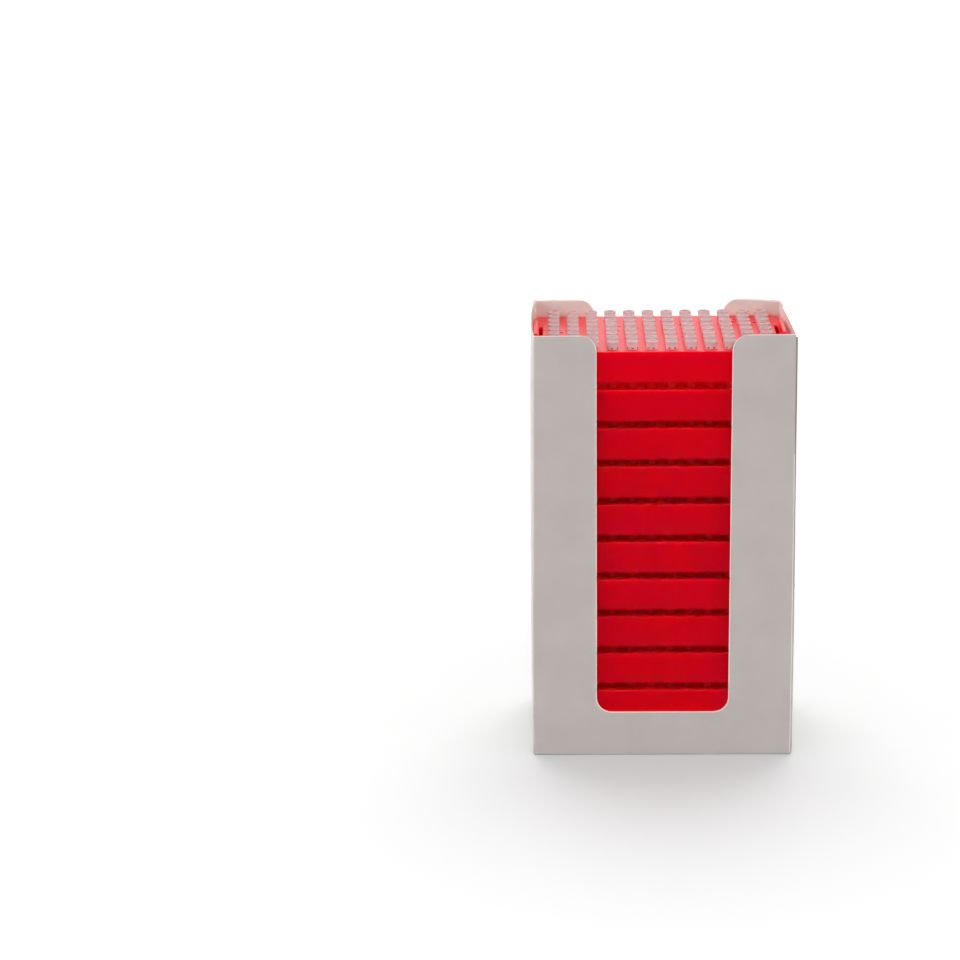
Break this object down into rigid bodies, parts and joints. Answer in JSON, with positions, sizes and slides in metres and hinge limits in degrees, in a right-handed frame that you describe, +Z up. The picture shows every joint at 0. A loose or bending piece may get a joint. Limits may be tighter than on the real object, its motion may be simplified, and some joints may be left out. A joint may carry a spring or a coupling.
{
  "type": "box of pipette tips",
  "caption": "Upright card sleeve, open at the top and cut out front and rear, holding a stack of moulded reload racks, each filled with a grid of separate pipette tips.",
  "frame": {"origin": "centre of the sleeve's bottom face", "axes": "+X to the right seen from the front, +Y to the rear, +Z up"},
  "size_m": [0.1246, 0.0774, 0.2043],
  "materials": {
    "card": "uncoated greige card, matt",
    "rack_plastic": "moulded translucent red polypropylene, satin",
    "tip_plastic": "frosted translucent polypropylene, satin"
  },
  "bodies": {
    "root": {"card_sleeve": "card", "card_stand": "card", "rack_01": "rack_plastic", "rack_02": "rack_plastic", "rack_03": "rack_plastic", "rack_04": "rack_plastic", "rack_05": "rack_plastic", "rack_06": "rack_plastic", "rack_07": "rack_plastic", "rack_08": "rack_plastic", "rack_09": "rack_plastic", "rack_10": "rack_plastic", "tips_01": "tip_plastic", "tips_02": "tip_plastic", "tips_03": "tip_plastic", "tips_04": "tip_plastic", "tips_05": "tip_plastic", "tips_06": "tip_plastic", "tips_07": "tip_plastic", "tips_08": "tip_plastic", "tips_09": "tip_plastic", "tips_10": "tip_plastic"}
  },
  "joints": []
}
